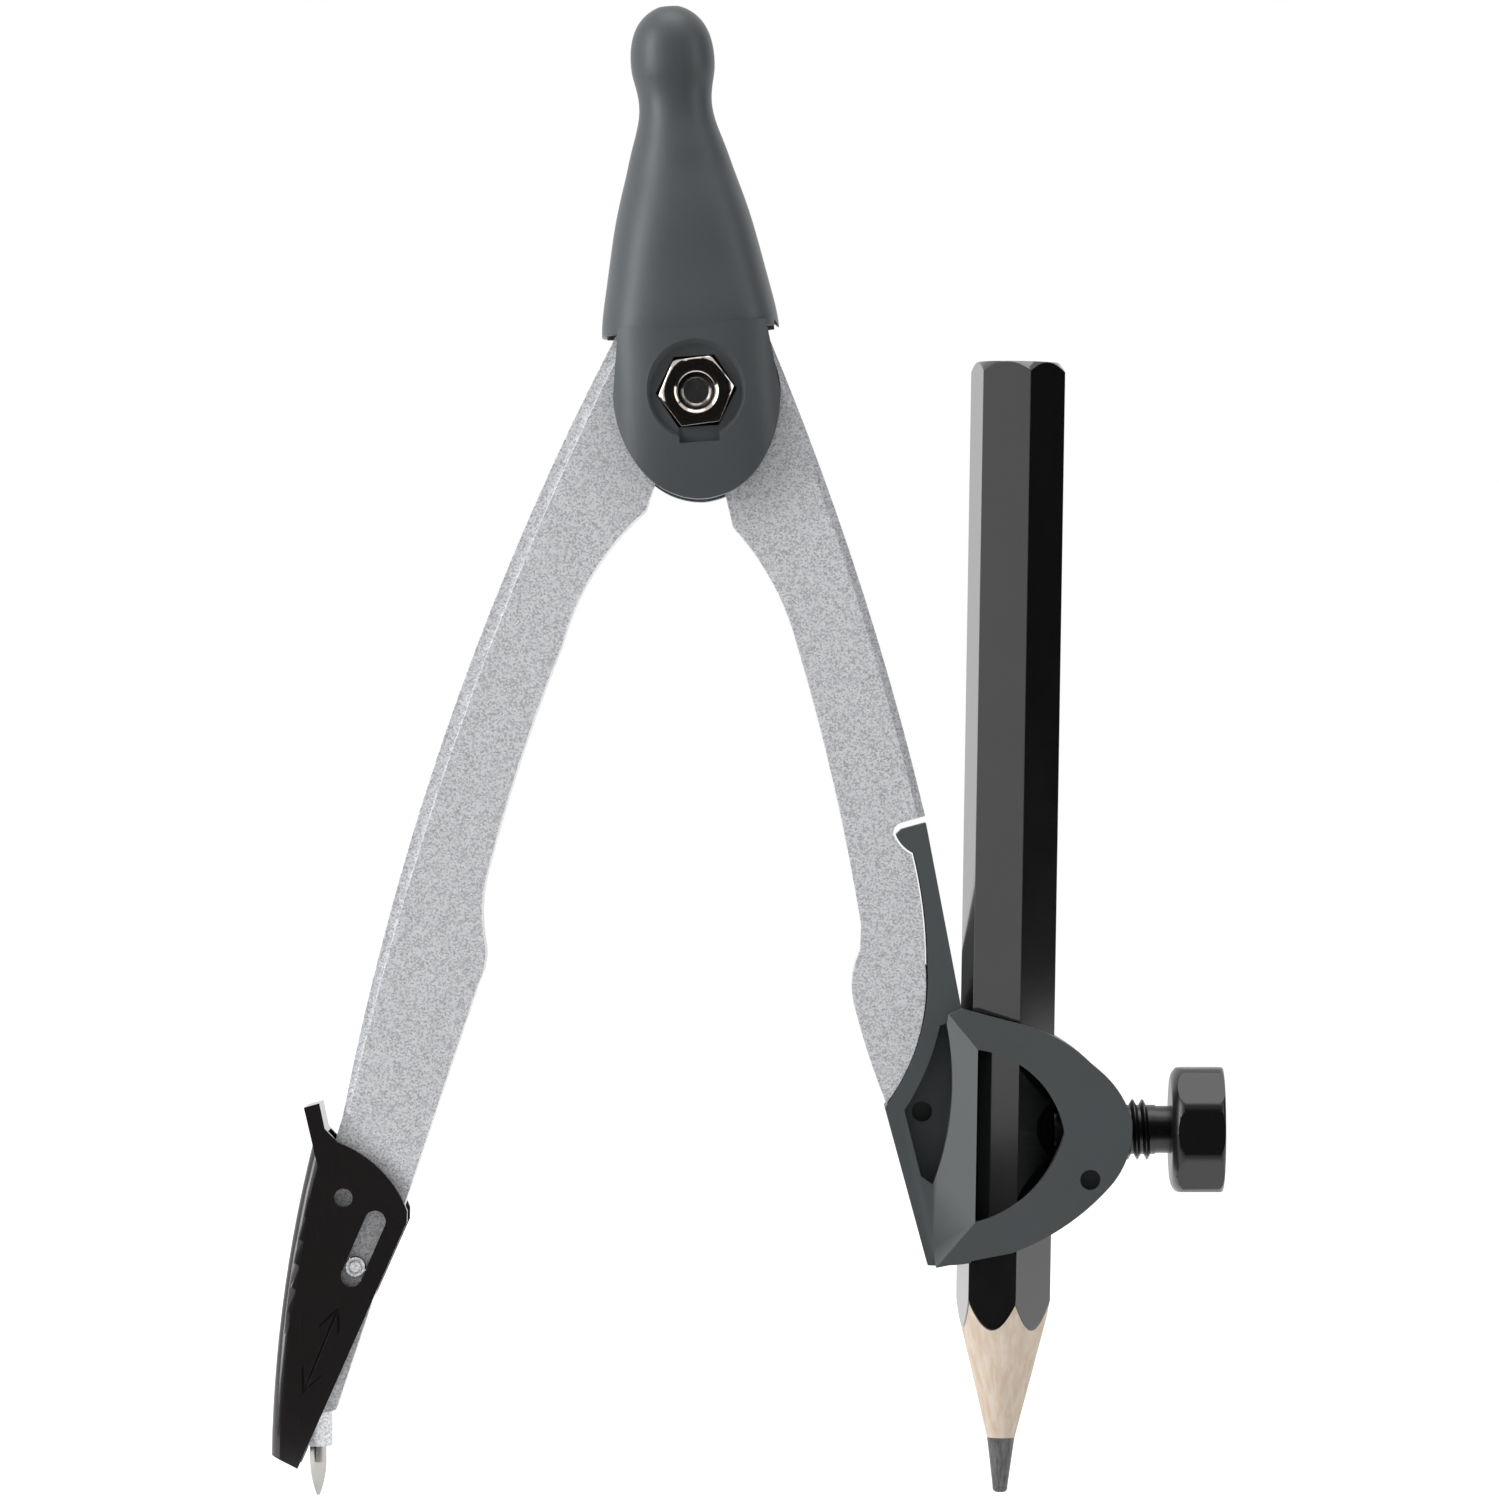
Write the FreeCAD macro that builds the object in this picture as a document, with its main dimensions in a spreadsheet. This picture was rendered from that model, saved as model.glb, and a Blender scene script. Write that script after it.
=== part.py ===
import FreeCAD, Part
import math
import os
import Sketcher

# A school drawing compass, in millimetres, standing as it is held: the needle's point is the
# origin, +Z is up, +X runs from the needle leg towards the pencil, and -Y is the nut side.
# Each leg is drawn in its own frame, with the pivot at the origin and the leg along -Z.

DIMENSIONS = (
    # Pose at rest
    ("needle_leg_length", 96.48), ("needle_leg_angle", 18.97), ("pencil_leg_angle", 15.56),
    ("head_tilt", 3.8), ("head_shift", 0.16),
    # Pivot stack, measured from the middle plane
    ("leg_half", 3.0), ("band_step", 0.7), ("knuckle_radius", 6.7), ("knuckle_gap", 0.25),
    ("half_lap_gap", 0.15), ("slot_side_gap", 0.35), ("friction_washer_radius", 5.0),
    ("friction_washer_thickness", 0.3), ("middle_washer_thickness", 0.25),
    ("screw_radius", 1.5), ("bore_gap", 0.05), ("screw_end_recess", 0.4), ("screw_end_radius", 1.05),
    ("screw_end_bevel", 0.45),
    ("nut_seat_depth", 2.45), ("nut_across_flats", 5.5), ("nut_thickness", 2.4), ("nut_turn", 3.7),
    ("nut_chamfer", 0.25), ("nut_mouth_radius", 1.85), ("nut_pocket_gap", 0.15), ("nut_fit", 0.02),
    ("rear_seat_depth", 1.65), ("rear_recess_radius", 3.9), ("flat_washer_radius", 3.5),
    ("flat_washer_thickness", 0.5), ("spring_washer_radius", 2.75),
    ("spring_washer_thickness", 0.7), ("spring_washer_split", 0.5),
    ("screw_head_radius", 2.75), ("screw_head_height", 1.7), ("screw_head_edge", 0.8),
    ("cross_width", 0.7), ("cross_span", 3.0), ("cross_depth", 1.1),
    # Head
    ("skirt_height", 5.1), ("skirt_half_width", 7.35), ("head_half_depth", 6.55),
    ("flank_height", 7.7), ("flank_half_width", 7.02), ("flank_half_depth", 6.3),
    ("waist_height", 11.8), ("waist_half_width", 6.2), ("waist_half_depth", 5.6),
    ("taper_height", 16.0), ("taper_half_width", 5.21), ("taper_half_depth", 4.85),
    ("throat_height", 20.1), ("throat_half_width", 4.0), ("throat_half_depth", 3.85),
    ("collar_height", 22.6), ("collar_half_width", 3.22), ("collar_half_depth", 3.2),
    ("neck_height", 24.1), ("neck_radius", 3.02), ("ball_foot_height", 25.9),
    ("ball_foot_radius", 3.26), ("ball_height", 28.18), ("ball_radius", 3.47),
    ("ball_rise", 4.13), ("cheek_half_width", 6.88), ("cheek_top_half_width", 6.1),
    ("cheek_drop", 8.85),
    ("cheek_bottom_half_depth", 5.2), ("slot_radius", 8.8), ("dish_radius", 4.25),
    ("dish_floor_radius", 3.75), ("dish_depth", 0.8), ("notch_depth", 0.2), ("notch_width", 3.3),
    ("notch_reach", 4.2),
    # Needle leg: x and z of its outline points, and the rise of each arc
    ("thigh_outer_x", -7.65), ("thigh_outer_z", 3.4),
    ("shin_outer_x", -8.22), ("shin_outer_up", 30.38), ("outer_bow", 2.56),
    ("panel_top_x", -6.75), ("panel_foot_x", -7.82), ("panel_foot_up", 30.88),
    ("panel_bow", 2.17), ("crotch_x", -0.92), ("crotch_z", -6.61), ("hip_x", -0.8),
    ("hip_z", -10.5), ("thigh_inner_x", -3.74), ("thigh_inner_z", -23.31),
    ("thigh_inner_bow", 0.98), ("calf_x", -3.48), ("calf_z", -42.88), ("calf_bow", 0.33),
    ("grip_x", -1.97), ("grip_up", 48.18), ("grip_bow", 0.3), ("bulge_x", -1.19),
    ("bulge_up", 44.48), ("bulge_bow", 0.35), ("step_inner_up", 27.38), ("step_bow", 0.2),
    ("ankle_x", -8.15), ("ankle_up", 28.66), ("foot_outer_x", -3.06), ("foot_outer_up", 5.85),
    ("foot_inner_x", -0.85), ("foot_inner_up", 7.31), ("boss_radius", 1.2),
    ("needle_stick_out", 4.1), ("boss_length", 5.0), ("needle_radius", 0.7),
    ("needle_fit", 0.02), ("needle_taper", 2.75), ("needle_bow", 0.13), ("needle_point_radius", 0.12),
    # Needle guard
    ("guard_side_gap", 0.15), ("guard_wall", 0.85), ("guard_corner", 1.0),
    ("guard_lip_x", -11.45), ("guard_lip_up", 30.15), ("guard_tip_x", -10.36),
    ("guard_tip_up", 30.91), ("guard_tab_x", -9.25), ("guard_tab_up", 29.07),
    ("guard_heel_x", -7.86), ("guard_heel_up", 28.35), ("guard_brow_x", -0.62), ("guard_brow_up", 24.88),
    ("guard_brow_bow", 0.85), ("guard_cheek_x", -0.32), ("guard_cheek_up", 23.98),
    ("guard_toe_x", -2.25), ("guard_toe_up", 1.8), ("guard_tail_x", -4.71),
    ("guard_tail_up", 2.14), ("guard_nape_x", -9.82), ("guard_nape_up", 27.56),
    ("guard_spine_bow", 0.73), ("guard_pin_x", -3.16), ("guard_pin_up", 19.1),
    ("guard_pin_radius", 0.79), ("pin_gap", 0.06), ("guard_slot_up", 4.15),
    ("guard_slot_down", 0.86), ("guard_slot_turn", 4.5), ("pin_ring_radius", 0.62),
    ("pin_ring_width", 0.2), ("pin_ring_depth", 0.3), ("detent_x", -5.95),
    ("detent_up", 24.18), ("detent_hole_radius", 0.76), ("detent_dimple_radius", 0.5),
    ("detent_dimple_depth", 0.3), ("arrow_top", 3.7), ("arrow_bottom", 11.2),
    ("arrow_line", 0.22), ("arrow_barb", 2.1), ("arrow_depth", 0.15), ("arrow_turn", 3.6),
    # Pencil leg
    ("pencil_shoulder_x", 7.0), ("pencil_shoulder_z", 2.83), ("pencil_outer_x", 8.82),
    ("pencil_outer_z", -38.74), ("pencil_outer_bow", 0.85), ("rim_width", 0.65),
    ("notch_mouth", 2.14), ("notch_bow", 0.2),
    ("notch_inner_x", 5.87), ("notch_inner_z", -39.5), ("notch_lip_x", 6.88),
    ("notch_lip_z", -41.5), ("seam_middle_x", 5.51), ("seam_middle_z", -50.61),
    ("seam_upper_bow", 0.28), ("seam_foot_x", -0.65), ("seam_foot_z", -60.73),
    ("seam_lower_bow", 1.1), ("pencil_foot_bow", 0.15), ("pencil_bulge_x", -1.02),
    ("pencil_bulge_z", -52.22), ("pencil_bulge_bow", 0.41), ("pencil_grip_x", 0.67),
    ("pencil_grip_z", -47.97), ("pencil_calf_x", 1.31), ("pencil_calf_z", -46.0),
    ("pencil_calf_bow", 0.39), ("pencil_thigh_x", 2.42), ("pencil_thigh_z", -22.29),
    ("pencil_thigh_bow", 0.67), ("pencil_hip_x", -0.06), ("pencil_hip_z", -11.48),
    ("pencil_crotch_x", 0.13), ("pencil_crotch_z", -7.07), ("tongue_half", 1.2),
    ("tongue_reach", 0.8), ("tongue_gap", 0.05), ("seam_gap", 0.2),
    # Pencil holder
    ("arm_half", 3.1), ("bow_half", 5.2), ("hook_gap", 0.55), ("arm_top_x", 8.72),
    ("arm_waist_x", 7.43), ("arm_waist_z", -54.83), ("bow_top_x", 11.73),
    ("bow_top_z", -57.3), ("bow_shoulder_x", 16.66),
    ("bow_shoulder_z", -62.28), ("bow_shoulder_bow", 0.5), ("bow_nose_x", 18.45),
    ("bow_nose_z", -67.4), ("bow_nose_bow", 0.47), ("bow_chin_x", 15.18), ("bow_chin_z", -72.2),
    ("bow_chin_bow", 0.6), ("bow_base_x", 6.0), ("bow_base_z", -75.25), ("bow_base_bow", 0.6),
    ("heel_x", -0.94), ("heel_z", -74.5), ("heel_bow", 0.4), ("mitre_top_x", 6.27),
    ("mitre_top_z", -54.97), ("clamp_x", 8.33), ("clamp_z", -65.59), ("clamp_turn", 16.5),
    ("window_left", 2.56), ("window_top", 6.75), ("window_bottom", 7.45),
    ("window_right", 4.72), ("window_floor", 4.3), ("window_upper_bow", 1.65), ("window_lower_bow", 1.45),
    ("saddle_run", 3.4), ("pocket_depth", 2.1), ("pocket_top_x", 5.9), ("pocket_top_z", -55.7),
    ("pocket_top_width", 0.55), ("pocket_side_x", 0.63), ("pocket_side_z", -61.68),
    ("pocket_side_bow", 0.35), ("pocket_foot_x", 0.5), ("pocket_foot_z", -67.3),
    ("pocket_foot_width", 0.75), ("pocket_foot_rise", 0.3), ("pocket_saddle_bow", 0.95),
    ("dot_radius", 0.84), ("pocket_dot_x", 2.02), ("pocket_dot_z", -62.24),
    ("bow_dot_x", 13.83), ("bow_dot_z", -71.18), ("dot_depth", 1.5),
    # Clamp screw, measured along its axis from the pencil's axis
    ("thread_radius", 2.5), ("thread_depth", 0.45), ("thread_pitch", 0.8),
    ("clamp_hole_gap", 0.06), ("clamp_tip", 3.98), ("clamp_tip_radius", 1.5),
    ("thread_start", 4.9), ("thread_end", 12.35), ("shank_radius", 1.96), ("knob_start", 13.6),
    ("knob_length", 4.4), ("knob_across_flats", 10.25), ("knob_round_radius", 5.38),
    ("knob_shoulder", 1.0), ("knob_rim", 0.5), ("knob_socket_depth", 3.0),
    # Pencil, measured from its point
    ("pencil_length", 93.6), ("pencil_below_clamp", 30.05), ("pencil_across_flats", 7.0),
    ("pencil_turn", 17.0), ("pencil_lean", 0.94), ("paint_thickness", 0.09),
    ("channel_gap", 0.12), ("lead_radius", 1.15), ("lead_fit", 0.01), ("cone_half_angle", 14.0),
    ("lead_point_height", 4.5), ("lead_tip_radius", 0.62), ("lead_round", 0.45),
    ("top_round_height", 0.8), ("top_round_width", 0.6),
)

DOCUMENT = FreeCAD.newDocument("drawing_compass")
SHEET = DOCUMENT.addObject("Spreadsheet::Sheet", "Sizes")
NUMBERS = dict(DIMENSIONS)
PARTS = []
FRONT = FreeCAD.Rotation(FreeCAD.Vector(1, 0, 0), 90)


class Size:
    """A length or an angle, as a number and as the expression that gives it."""

    def __init__(self, number, text):
        self.number = number
        self.text = text

    def joined(self, other, sign, result):
        return Size(result, "(%s %s %s)" % (self.text, sign, as_size(other).text))

    def __add__(self, other):
        return self.joined(other, "+", self.number + as_size(other).number)

    def __sub__(self, other):
        return self.joined(other, "-", self.number - as_size(other).number)

    def __mul__(self, other):
        return self.joined(other, "*", self.number * as_size(other).number)

    def __truediv__(self, other):
        return self.joined(other, "/", self.number / as_size(other).number)

    def __neg__(self):
        return Size(-self.number, "(0 - %s)" % self.text)


def as_size(value):
    return value if isinstance(value, Size) else Size(float(value), repr(float(value)))


def size(alias):
    return Size(NUMBERS[alias], "Sizes." + alias)


def sizes(*aliases):
    return [size(alias) for alias in aliases]


def low_height(name):
    """A height given above the needle's point, in the needle leg's frame."""
    return size(name + "_up") - size("needle_leg_length")


def foot_point(name):
    return [size(name + "_x"), low_height(name)]


def below_face(alias):
    """A distance from the middle plane, given as a depth under the head's face."""
    return size("head_half_depth") - size(alias)


def sine(angle):
    return Size(math.sin(math.radians(angle.number)), "sin(%s * 1 deg)" % angle.text)


def cosine(angle):
    return Size(math.cos(math.radians(angle.number)), "cos(%s * 1 deg)" % angle.text)


def corner_radius(across_flats, sides):
    return across_flats / 2 / cosine(as_size(180.0 / sides))


def fill_sheet():
    for row, (alias, number) in enumerate(DIMENSIONS, start=1):
        SHEET.set("A%d" % row, alias)
        SHEET.set("B%d" % row, str(number))
        SHEET.setAlias("B%d" % row, alias)
    DOCUMENT.recompute()


def bind(item, **properties):
    for name, value in properties.items():
        value = as_size(value)
        item.setExpression(name.replace("_at_", "."), value.text)


def place(item, x=0, y=0, z=0, turn=None, axis=(0, 1, 0)):
    """Binds where an item stands, and how far it turns about an axis."""
    bind(item, Placement_at_Base_at_x=x, Placement_at_Base_at_y=y, Placement_at_Base_at_z=z)
    if turn is not None:
        turn = as_size(turn)
        rotation = FreeCAD.Rotation(FreeCAD.Vector(*axis), turn.number)
        item.Placement = FreeCAD.Placement(FreeCAD.Vector(), rotation)
        bind(item, Placement_at_Rotation_at_Angle=turn)
    return item


def outline(name, points):
    """A closed outline seen from the front. A third value is the rise of the arc that leads
    to the point, to the left of its chord."""
    sketch = DOCUMENT.addObject("Sketcher::SketchObject", name)
    sketch.Placement = FreeCAD.Placement(FreeCAD.Vector(), FRONT)
    count = len(points)
    for number in range(count):
        add_edge(sketch, points[number - 1], points[number])
    for number in range(count):
        following = (number + 1) % count
        last = ends(points[number])[1]
        first = ends(points[following])[0]
        sketch.addConstraint(Sketcher.Constraint("Coincident", number, last, following, first))
    for number in range(count):
        fix_point(sketch, number, points[number])
    for number in range(count):
        if len(points[number]) == 3:
            fix_radius(sketch, number, points[number - 1], points[number])
    return sketch


def ends(point):
    """The sketch's numbers for an edge's first and last ends: an arc runs anticlockwise."""
    rises = len(point) == 3 and as_size(point[2]).number > 0
    return (2, 1) if rises else (1, 2)


def add_edge(sketch, start, end):
    first = FreeCAD.Vector(as_size(start[0]).number, as_size(start[1]).number, 0)
    last = FreeCAD.Vector(as_size(end[0]).number, as_size(end[1]).number, 0)
    if len(end) == 2:
        sketch.addGeometry(Part.LineSegment(first, last))
        return
    chord = last - first
    left = FreeCAD.Vector(-chord.y, chord.x, 0).normalize()
    middle = (first + last) * 0.5 + left * as_size(end[2]).number
    if ends(end) == (2, 1):
        first, last = last, first
    sketch.addGeometry(Part.Arc(first, middle, last))


def fix_point(sketch, number, point):
    for kind, value in (("DistanceX", point[0]), ("DistanceY", point[1])):
        value = as_size(value)
        limit = Sketcher.Constraint(kind, -1, 1, number, ends(point)[1], value.number)
        index = sketch.addConstraint(limit)
        sketch.setExpression("Constraints[%d]" % index, value.text)


def fix_radius(sketch, number, start, end):
    across = as_size(end[0]) - start[0]
    along = as_size(end[1]) - start[1]
    rise = as_size(end[2])
    if rise.number < 0:
        rise = -rise
    radius = (across * across + along * along) / 8 / rise + rise / 2
    index = sketch.addConstraint(Sketcher.Constraint("Radius", number, radius.number))
    sketch.setExpression("Constraints[%d]" % index, radius.text)


def plate(sketch, front, rear):
    """An outline made solid, from `front` before the middle plane to `rear` behind it."""
    solid = DOCUMENT.addObject("Part::Extrusion", sketch.Name + "_solid")
    solid.Base = sketch
    solid.DirMode = "Normal"
    solid.Solid = True
    bind(solid, LengthFwd=front, LengthRev=rear)
    return solid


def drum(name, radius, front, rear, x=0, z=0):
    """A cylinder along Y."""
    solid = DOCUMENT.addObject("Part::Cylinder", name)
    bind(solid, Radius=radius, Height=as_size(front) + rear)
    solid.Placement = FreeCAD.Placement(FreeCAD.Vector(), FRONT)
    return place(solid, x, rear, z)


def block(name, x_low, x_high, front, rear, z_low, z_high):
    solid = DOCUMENT.addObject("Part::Box", name)
    z_low = as_size(z_low)
    x_low = as_size(x_low)
    bind(solid, Length=as_size(x_high) - x_low, Width=as_size(front) + rear, Height=as_size(z_high) - z_low)
    return place(solid, x_low, -as_size(front), z_low)


def hexagon(name, across_flats, front, rear, turn, sides=6):
    """A regular prism along Y with flats above and below, turned by `turn`."""
    solid = DOCUMENT.addObject("Part::Prism", name)
    solid.Polygon = sides
    bind(solid, Circumradius=corner_radius(across_flats, sides), Height=as_size(front) + rear)
    solid.Placement = FreeCAD.Placement(FreeCAD.Vector(), FRONT)
    place(solid, 0, rear, 0)
    return turned(name + "_turned", solid, turn)


def spun(name, profile):
    """A half profile turned about Z."""
    solid = DOCUMENT.addObject("Part::Revolution", name)
    solid.Source = profile
    solid.Axis = FreeCAD.Vector(0, 0, 1)
    solid.Angle = 360
    solid.Solid = True
    return solid


def turned(name, base, turn, x=0, y=0, z=0):
    """A copy of one shape, turned about Y and moved."""
    whole = DOCUMENT.addObject("Part::Compound", name)
    whole.Links = [base]
    return place(whole, x, y, z, turn)


def cut(name, base, *tools):
    tool = tools[0] if len(tools) == 1 else fuse(name + "_tools", *tools)
    result = DOCUMENT.addObject("Part::Cut", name)
    result.Base = base
    result.Tool = tool
    return result


def fuse(name, *shapes):
    result = DOCUMENT.addObject("Part::MultiFuse", name)
    result.Shapes = list(shapes)
    result.Refine = True
    return result


def common(name, *shapes):
    result = DOCUMENT.addObject("Part::MultiCommon", name)
    result.Shapes = list(shapes)
    return result


def rounded(name, base, radius, chosen):
    """A shape with some of its edges rounded."""
    DOCUMENT.recompute()
    result = DOCUMENT.addObject("Part::Fillet", name)
    result.Base = base
    edges = enumerate(base.Shape.Edges, start=1)
    result.Edges = [(number, radius.number, radius.number) for number, edge in edges if chosen(edge)]
    return result


def keep(item, label):
    """Marks a finished sub-part: its label is its file's name."""
    item.Label = label
    PARTS.append(item)


def pivot_place(item, turn):
    """Stands an item drawn about the pivot where the pivot is at rest."""
    length, angle = sizes("needle_leg_length", "needle_leg_angle")
    return place(item, length * sine(angle), 0, length * cosine(angle), turn)


def superellipse(half_width, half_depth, height, squareness):
    """A closed ring about Z, between an ellipse and a rounded rectangle."""
    points = []
    for step in range(32):
        angle = math.tau * step / 32
        across = abs(math.cos(angle)) ** (2 / squareness)
        deep = abs(math.sin(angle)) ** (2 / squareness)
        x = math.copysign(half_width * across, math.cos(angle))
        y = math.copysign(half_depth * deep, math.sin(angle))
        points.append(FreeCAD.Vector(x, y, height))
    ring = Part.BSplineCurve()
    ring.interpolate(points, PeriodicFlag=True)
    return Part.Wire(ring.toShape())


def head_core():
    """The head's outer skin: a skirt that tapers to a neck, and the cheeks below it."""
    squareness = (2.9, 2.8, 2.5, 2.2, 2.0, 2.0, 2.0, 2.0, 2.0)
    names = ("skirt", "flank", "waist", "taper", "throat", "collar", "neck", "ball_foot", "ball")
    rings = []
    for name, square in zip(names, squareness):
        height = NUMBERS[name + "_height"]
        round_radius = NUMBERS.get(name + "_radius")
        half_width = NUMBERS.get(name + "_half_width", round_radius)
        half_depth = NUMBERS.get(name + "_half_depth", round_radius)
        if name == "skirt":
            half_depth = NUMBERS["head_half_depth"]
        rings.append(superellipse(half_width, half_depth, height, square))
    radius, rise, foot = (NUMBERS["ball_" + word] for word in ("radius", "rise", "height"))
    for angle in (30, 55, 75):
        across, up = radius * math.cos(math.radians(angle)), rise * math.sin(math.radians(angle))
        rings.append(superellipse(across, across, foot + up, 2.0))
    core = DOCUMENT.addObject("Part::Feature", "head_core")
    core.Shape = Part.makeLoft(rings, True)
    core.Placement = FreeCAD.Placement(FreeCAD.Vector(-NUMBERS["head_shift"], 0, 0), FreeCAD.Rotation())
    return core


def cheek_core():
    """The convex slab that the two cheeks are cut from."""
    width = NUMBERS["skirt_half_width"]
    deep = NUMBERS["head_half_depth"]
    shallow = NUMBERS["cheek_bottom_half_depth"]
    low = -NUMBERS["cheek_drop"]
    top = NUMBERS["flank_height"] - 1
    heights = (top, low * 0.1, low * 0.55, low - 0.4)
    depths = (deep - 0.12, deep, (deep * 2 + shallow) / 3, shallow)
    rings = [superellipse(width + 0.4, depth, height, 2.9) for depth, height in zip(depths, heights)]
    core = DOCUMENT.addObject("Part::Feature", "cheek_core")
    core.Shape = Part.makeLoft(rings, True)
    return core


def head_fork():
    skirt, half, drop = sizes("skirt_height", "cheek_half_width", "cheek_drop")
    top, top_half, corner = skirt + 0.5, size("cheek_top_half_width"), math.sqrt(0.5)
    deep = size("head_half_depth")
    side_bow, base_bow = -drop * 0.062, -drop * 0.073
    oval = outline("cheek_outline", [
        (-top_half, top), (-half, 0), (-half * corner, -drop * corner, side_bow), (0, -drop, base_bow),
        (half * corner, -drop * corner, base_bow), (half, 0, side_bow), (top_half, top),
    ])
    cheeks = common("cheeks", cheek_core(), plate(oval, deep + 1, deep + 1))
    slot_half = size("leg_half") + size("slot_side_gap")
    slot = block("head_slot", -20, 20, slot_half, slot_half, -20, skirt + 0.05)
    cave = drum("head_cave", size("slot_radius"), slot_half, slot_half)
    bore = drum("head_bore", size("screw_radius") + size("bore_gap"), 20, 20)
    pocket_flats = size("nut_across_flats") + size("nut_pocket_gap") * 2
    pocket = hexagon("nut_pocket", pocket_flats, 20, -below_face("nut_seat_depth"), 0)
    floor = below_face("dish_depth")
    dish = DOCUMENT.addObject("Part::Cone", "head_dish")
    inner, outer = sizes("dish_floor_radius", "dish_radius")
    bind(dish, Radius1=inner, Radius2=outer + outer - inner, Height=(deep - floor) * 2)
    dish.Placement = FreeCAD.Placement(FreeCAD.Vector(), FRONT)
    place(dish, 0, -floor, 0)
    width, reach = sizes("notch_width", "notch_reach")
    notch = block("dish_notch", -width / 2, width / 2, 20, size("notch_depth") - floor, -reach, 0)
    recess = drum("rear_recess", size("rear_recess_radius"), -below_face("rear_seat_depth"), 20)
    skin = fuse("head_skin", head_core(), cheeks)
    for name, tool in (("slot", slot), ("cave", cave), ("bore", bore), ("pocket", pocket),
                       ("dish", dish), ("notch", notch), ("recess", recess)):
        skin = cut("head_without_" + name, skin, tool)
    keep(pivot_place(skin, -size("head_tilt")), "head_fork")


def washer(label, radius, front, rear):
    """A flat ring on the pivot screw."""
    ring = drum(label + "_disc", radius, front, rear)
    bore = size("screw_radius") + size("bore_gap")
    hole = drum(label + "_hole", bore, as_size(front) + 1, as_size(rear) + 1)
    return cut(label, ring, hole)


def pivot_washers():
    half, gap = sizes("leg_half", "slot_side_gap")
    seat = half + gap
    radius, thickness = sizes("friction_washer_radius", "friction_washer_thickness")
    tilt = -size("head_tilt")
    keep(pivot_place(washer("front_washer", radius, seat, thickness - seat), tilt), "friction_washer_front")
    keep(pivot_place(washer("back_washer", radius, thickness - seat, seat), tilt), "friction_washer_rear")
    lap = size("half_lap_gap")
    middle = washer("between_washer", radius, lap, size("middle_washer_thickness") - lap)
    keep(pivot_place(middle, size("needle_leg_angle")), "friction_washer_middle")
    base = below_face("rear_seat_depth")
    top = base + size("flat_washer_thickness")
    keep(pivot_place(washer("steel_washer", size("flat_washer_radius"), -base, top), tilt), "flat_washer")
    crest = top + size("spring_washer_thickness")
    ring = washer("lock_washer", size("spring_washer_radius"), -top, crest)
    split = size("spring_washer_split")
    gap = block("lock_split", 0, 5, -top + 1, crest + 1, -split / 2, split / 2)
    keep(pivot_place(cut("lock_ring", ring, gap), tilt), "spring_washer")


def pivot_screw():
    washers = size("flat_washer_thickness") + size("spring_washer_thickness")
    head_seat = below_face("rear_seat_depth") + washers
    radius, height, edge = sizes("screw_head_radius", "screw_head_height", "screw_head_edge")
    end, bevel = below_face("screw_end_recess"), size("screw_end_bevel")
    shank = drum("screw_shank", size("screw_radius"), end - bevel, head_seat)
    tip = DOCUMENT.addObject("Part::Cone", "screw_end")
    bind(tip, Radius1=size("screw_radius"), Radius2=size("screw_end_radius"), Height=bevel)
    tip.Placement = FreeCAD.Placement(FreeCAD.Vector(), FRONT)
    place(tip, 0, bevel - end, 0)
    rim = drum("screw_rim", radius, -head_seat, head_seat + edge)
    crown = DOCUMENT.addObject("Part::Cone", "screw_crown")
    bind(crown, Radius1=radius * 0.62, Radius2=radius, Height=height - edge)
    crown.Placement = FreeCAD.Placement(FreeCAD.Vector(), FRONT)
    place(crown, 0, head_seat + height, 0)
    half, span, top = size("cross_width") / 2, size("cross_span") / 2, head_seat + height
    slots = [
        block("cross_level", -span, span, size("cross_depth") - top, top + 1, -half, half),
        block("cross_upright", -half, half, size("cross_depth") - top, top + 1, -span, span),
    ]
    screw = cut("pan_screw", fuse("screw_body", shank, tip, rim, crown), *slots)
    keep(pivot_place(screw, -size("head_tilt")), "pivot_screw")


def pivot_nut():
    seat = below_face("nut_seat_depth")
    thick, flats = sizes("nut_thickness", "nut_across_flats")
    top = seat + thick
    blank = hexagon("nut_blank", flats, top, -seat, 0)
    chamfer = size("nut_chamfer")
    corner = corner_radius(flats, 6)
    crown = DOCUMENT.addObject("Part::Cone", "nut_crown")
    bind(crown, Radius1=flats / 2 + thick * 2, Radius2=flats / 2 - chamfer, Height=thick + chamfer)
    crown.Placement = FreeCAD.Placement(FreeCAD.Vector(), FRONT)
    place(crown, 0, -seat + chamfer, 0)
    mouth = DOCUMENT.addObject("Part::Cone", "nut_mouth")
    inner = size("screw_radius") + size("nut_fit")
    bind(mouth, Radius1=inner, Radius2=size("nut_mouth_radius"), Height=chamfer)
    mouth.Placement = FreeCAD.Placement(FreeCAD.Vector(), FRONT)
    place(mouth, 0, -top + chamfer, 0)
    bore = drum("nut_bore", inner, top + 1, as_size(1) - seat)
    nut = cut("nut", common("nut_body", blank, crown), bore, mouth)
    keep(pivot_place(nut, -size("head_tilt") - size("nut_turn")), "pivot_nut")


def inner_edge():
    """The needle leg's inner edge, from its foot up to the pivot."""
    return [
        foot_point("bulge"),
        foot_point("grip") + [-size("bulge_bow")],
        sizes("calf_x", "calf_z", "grip_bow"),
        sizes("thigh_inner_x", "thigh_inner_z", "calf_bow"),
        sizes("hip_x", "hip_z", "thigh_inner_bow"),
        sizes("crotch_x", "crotch_z"),
        (0, 0),
    ]


def knuckle(name, front, rear):
    """One leg's half-thick disc at the pivot."""
    return drum(name, size("knuckle_radius"), front, rear)


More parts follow.
